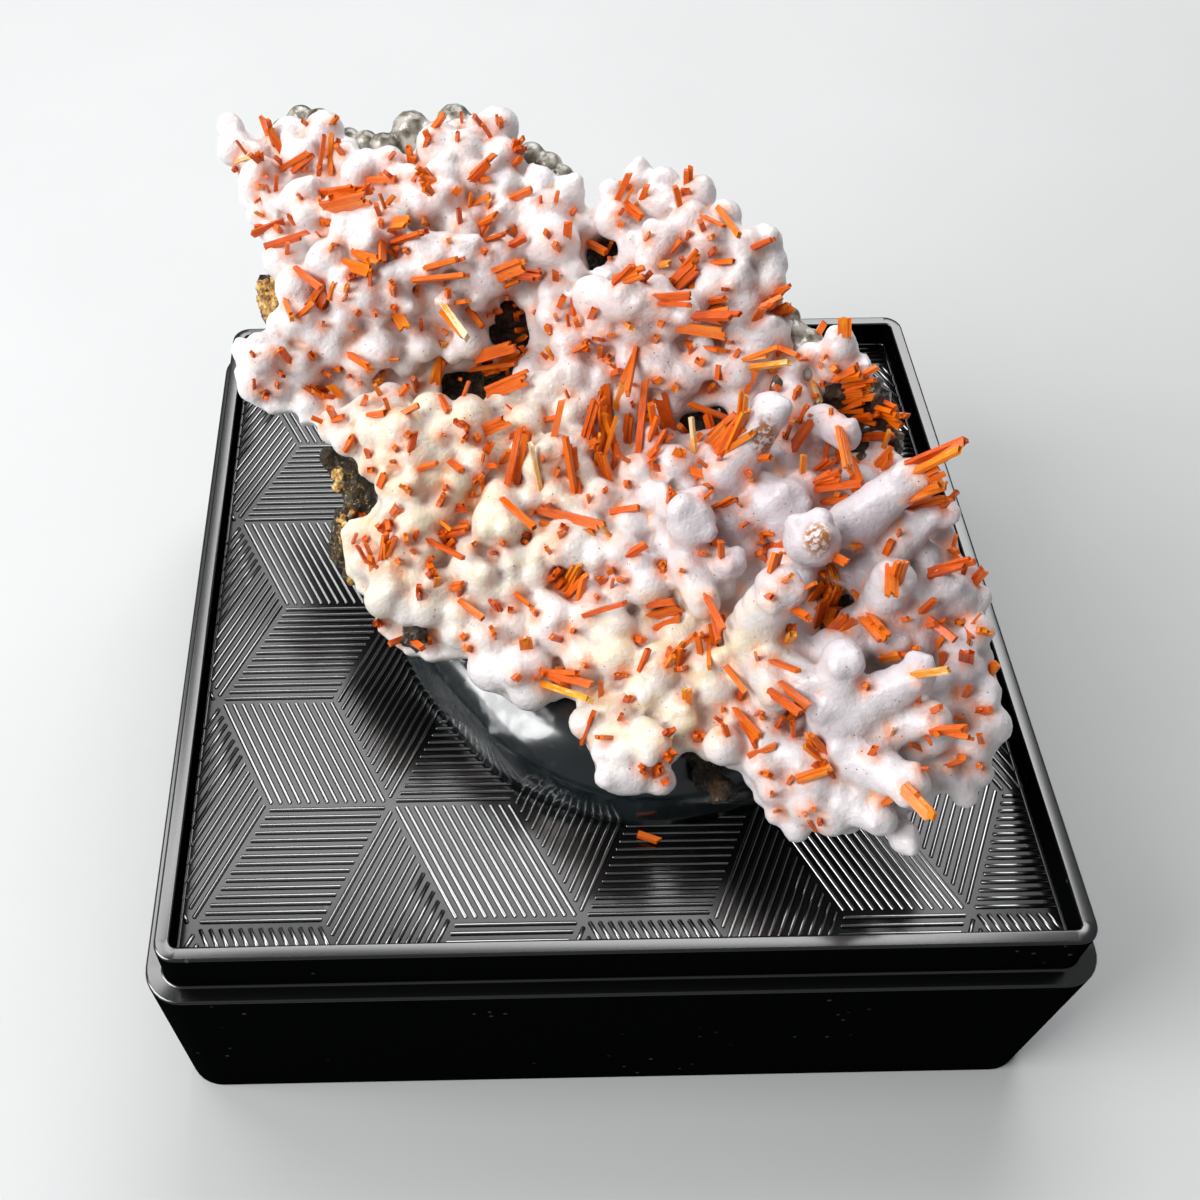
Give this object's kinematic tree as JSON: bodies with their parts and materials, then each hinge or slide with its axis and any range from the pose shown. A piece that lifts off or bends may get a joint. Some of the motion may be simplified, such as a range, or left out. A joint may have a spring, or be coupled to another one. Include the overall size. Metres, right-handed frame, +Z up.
{
  "type": "crocoite mineral specimen on a display-box base",
  "caption": "Orange-red prismatic crocoite on a white botryoidal crust over brown rock, fixed with black putty to a square black display-box base.",
  "frame": {"origin": "centre of the base's underside, at the foot of the skirt", "axes": "+Z up, -Y towards the side the specimen's face looks to, +X to the right seen from there"},
  "size_m": [0.052, 0.052, 0.039],
  "materials": {
    "black_plastic": "satin moulded black plastic, ribbed floor, scuffed rim",
    "black_putty": "smooth glossy black putty",
    "brown_rock": "rough dark brown rock with golden spots",
    "white_crust": "waxy white to lilac botryoidal crust, cream in places",
    "grey_botryoids": "glassy grey-brown botryoids",
    "crocoite": "glossy translucent orange-red crystal"
  },
  "bodies": {
    "root": {"box_base": "black_plastic", "putty": "black_putty", "matrix_rock": "brown_rock", "white_crust": "white_crust", "grey_botryoids_far_left": "grey_botryoids", "grey_botryoids_far_middle": "grey_botryoids", "grey_botryoids_right": "grey_botryoids", "loose_chip": "crocoite", "crocoite_spray_01": "crocoite", "crocoite_spray_02": "crocoite", "crocoite_spray_03": "crocoite", "crocoite_spray_04": "crocoite", "crocoite_spray_05": "crocoite", "crocoite_spray_06": "crocoite", "crocoite_spray_07": "crocoite", "crocoite_spray_08": "crocoite", "crocoite_spray_09": "crocoite", "crocoite_spray_10": "crocoite", "crocoite_spray_11": "crocoite", "crocoite_spray_12": "crocoite", "crocoite_spray_13": "crocoite", "crocoite_spray_14": "crocoite", "crocoite_spray_15": "crocoite", "crocoite_spray_16": "crocoite", "crocoite_spray_17": "crocoite", "crocoite_spray_18": "crocoite", "crocoite_spray_19": "crocoite", "crocoite_spray_20": "crocoite", "crocoite_spray_21": "crocoite", "crocoite_spray_22": "crocoite", "crocoite_spray_23": "crocoite", "crocoite_spray_24": "crocoite", "crocoite_spray_25": "crocoite", "crocoite_spray_26": "crocoite", "crocoite_spray_27": "crocoite", "crocoite_spray_28": "crocoite", "crocoite_spray_29": "crocoite", "crocoite_spray_30": "crocoite", "crocoite_spray_31": "crocoite", "crocoite_spray_32": "crocoite", "crocoite_spray_33": "crocoite", "crocoite_spray_34": "crocoite", "crocoite_spray_35": "crocoite", "crocoite_spray_36": "crocoite", "crocoite_spray_37": "crocoite", "crocoite_spray_38": "crocoite", "crocoite_spray_39": "crocoite", "crocoite_spray_40": "crocoite", "crocoite_spray_41": "crocoite", "crocoite_spray_42": "crocoite", "crocoite_spray_43": "crocoite", "crocoite_spray_44": "crocoite", "crocoite_spray_45": "crocoite", "crocoite_spray_46": "crocoite", "crocoite_spray_47": "crocoite", "crocoite_spray_48": "crocoite", "crocoite_spray_49": "crocoite", "crocoite_spray_50": "crocoite"}
  },
  "joints": []
}
